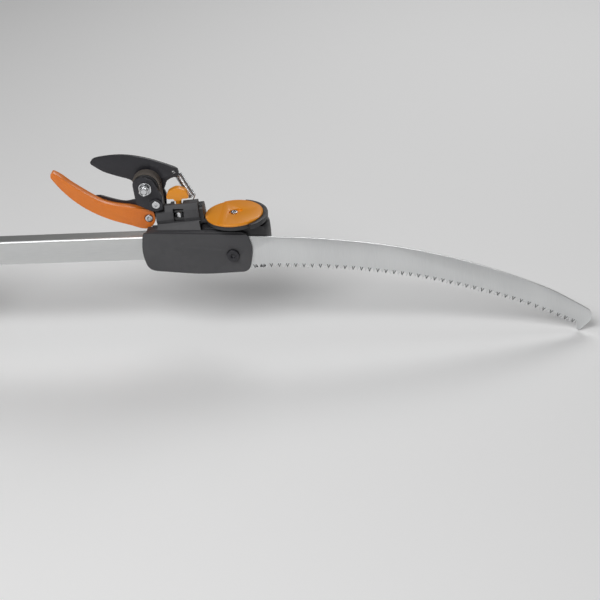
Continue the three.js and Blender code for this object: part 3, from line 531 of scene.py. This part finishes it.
def wind_spring():
    top, foot = spring_ends()
    axis = (foot - top).normalized()
    side = axis.cross(Vector((0, 1, 0))).normalized()
    front = axis.cross(side)
    radius = (COIL_RADIUS - WIRE / 2) * MM
    length = (foot - top).length
    turns = int(length / (WIRE * COIL_SPACING * MM))
    points = []
    for i in range(turns * STEPS_PER_TURN + 1):
        angle = 2 * math.pi * i / STEPS_PER_TURN
        along = length * i / (turns * STEPS_PER_TURN)
        points.append(top + axis * along + (side * math.cos(angle) + front * math.sin(angle)) * radius)
    hook = Vector((CAP_CENTRE.x, 0, 0)) + TAIL_HOLE
    lead = [hook + Vector((-0.0012, -0.0026, 0.0006)), hook,
            hook.lerp(top, 0.5) + Vector((0.0002, 0.0012, 0.0012)), top + side * radius * 0.5]
    post = Vector(((post_low.x + post_high.x) / 2, top.y, (post_low.z + post_high.z) / 2))
    tail = [foot.lerp(post, 0.5), post + axis * 0.003]
    return wire_tube("return_spring_wire", lead + points + tail, WIRE / 2 * MM)


spring = wind_spring()
shade(spring, 60)
spring.data.materials.append(finishes["zinc"])
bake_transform(spring)
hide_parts("return_spring")
print("spring wire faces:", len(spring.data.polygons))

# %% [markdown]
# The saw teeth are ground on alternate sides, so every second tooth shows a V from the front,
# with its point at the tip. The imported blade has the tooth outline. The Vs are painted shade:
# a thin dark layer on its near face stands in for the shade on the angled ground facets, and nothing is
# cut into the blade.

# %% Saw blade
saw_low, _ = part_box("saw_blade")
TOOTH_PITCH = 4.1 * MM
BEVEL_LIFT = 0.00006
MARK_POINT = 0.5 * MM
MARK_CLEFT = 1.5 * MM
MARK_TOP = 4.9 * MM
MARK_HALF = 1.7 * MM
MARK_ARM = 0.75 * MM
TOOTH_LINE = [(18, -22.4), (41, -22.1), (91, -25.2), (140, -31.8), (188, -41.2), (242, -57.4),
              (288, -74.5), (338.6, -99.4)]


def catmull(points, per_span=24):
    ends = [points[0]] + points + [points[-1]]
    line = []
    for a, b, c, d in zip(ends, ends[1:], ends[2:], ends[3:]):
        for i in range(per_span):
            t = i / per_span
            line.append(tuple(
                0.5 * ((2 * q) + (r - p) * t + (2 * p - 5 * q + 4 * r - s) * t * t
                       + (3 * q - p - 3 * r + s) * t ** 3) for p, q, r, s in zip(a, b, c, d)))
    line.append(points[-1])
    return [Vector((CAP_CENTRE.x + x * MM, 0, z * MM)) for x, z in line]


def tooth_places():
    line = catmull(TOOTH_LINE)
    places, walked, wanted = [], 0.0, 0.0
    for a, b in zip(line, line[1:]):
        step = (b - a).length
        while walked + step >= wanted:
            share = (wanted - walked) / step
            places.append((a.lerp(b, share), (b - a).normalized()))
            wanted += TOOTH_PITCH
        walked += step
    return places


# Painted shade: each dark V stands in for the shade on a tooth's angled ground facets.
def make_painted_bevel_shade():
    work = bmesh.new()
    for tip, along in tooth_places()[::2]:
        up = Vector((-along.z, 0, along.x))
        y = saw_low.y - BEVEL_LIFT
        point = tip + up * MARK_POINT
        left = tip - along * MARK_HALF + up * MARK_TOP
        right = tip + along * MARK_HALF + up * MARK_TOP
        arm = along * MARK_ARM
        rim = [point, right, right - arm, point + up * MARK_CLEFT, left + arm, left]
        verts = [work.verts.new((p.x, y, p.z)) for p in rim]
        work.faces.new(verts[0:4])
        work.faces.new([verts[0], verts[3], verts[4], verts[5]])
    bmesh.ops.solidify(work, geom=work.faces[:], thickness=BEVEL_LIFT)
    mesh = bpy.data.meshes.new("painted_bevel_shade_marks")
    work.to_mesh(mesh)
    work.free()
    piece = bpy.data.objects.new("painted_bevel_shade_marks", mesh)
    bpy.context.scene.collection.objects.link(piece)
    return piece


# Painted shade: this dark colour stands in for the shade on the ground facets, which are not modelled.
finishes["painted_bevel_shade"] = make_finish("painted_bevel_shade", (0.045, 0.045, 0.05), (0.07, 0.07, 0.075), 0.6,
                                       grain=900)
soften("saw_blade", 0.18, steps=2)
bevel_shade_marks = make_painted_bevel_shade()
finish_piece(bevel_shade_marks, "saw_steel", "head")
bevel_shade_marks.data.materials[0] = finishes["painted_bevel_shade"]
print("teeth:", len(tooth_places()))

# %% [markdown]
# Last, the box of the imported model is printed.

# %% Sizes and finish
print("cad", [[round(c, 4) for c in v] for v in cad_box])
